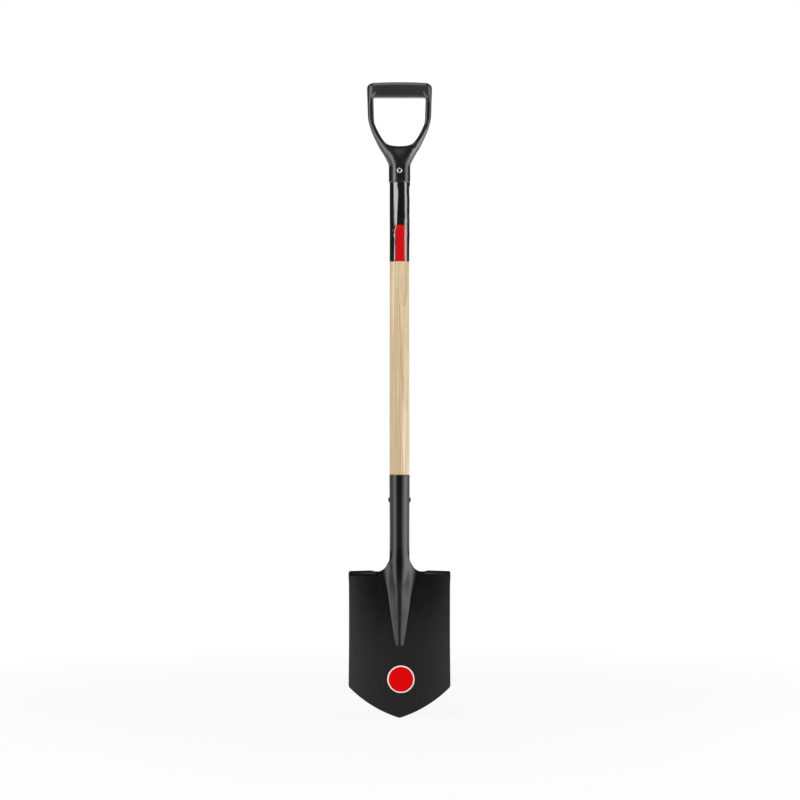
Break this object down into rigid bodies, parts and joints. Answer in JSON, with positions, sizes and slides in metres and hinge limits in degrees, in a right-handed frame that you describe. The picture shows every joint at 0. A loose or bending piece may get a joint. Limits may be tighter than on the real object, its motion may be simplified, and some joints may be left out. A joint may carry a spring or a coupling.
{
  "type": "digging spade",
  "caption": "Digging spade with a pointed, dished steel blade, foot treads, a pressed ridge and rolled socket, a straight ash shaft and a moulded plastic D-grip.",
  "frame": {"origin": "middle of the hand bar's underside, where the spade hangs on a hook or peg", "axes": "+Z along the shaft from the blade's tip to the grip, +X to the right seen from the blade's front, and the blade's front faces -Y"},
  "size_m": [0.19, 0.056, 1.1802],
  "materials": {
    "blade": "black powder coat, satin",
    "blade_label": "printed film",
    "socket_rivet": "black powder coat, satin",
    "shaft": "sanded ash, thin clear coat",
    "shaft_sleeve": "black shrink film, glossy",
    "d_grip": "moulded, semi-matte",
    "grip_screw": "zinc plated, bright"
  },
  "bodies": {
    "root": {"blade": "blade", "blade_label": "blade_label", "socket_rivet": "socket_rivet", "shaft": "shaft", "shaft_sleeve": "shaft_sleeve", "d_grip": "d_grip", "grip_screw": "grip_screw"}
  },
  "joints": []
}
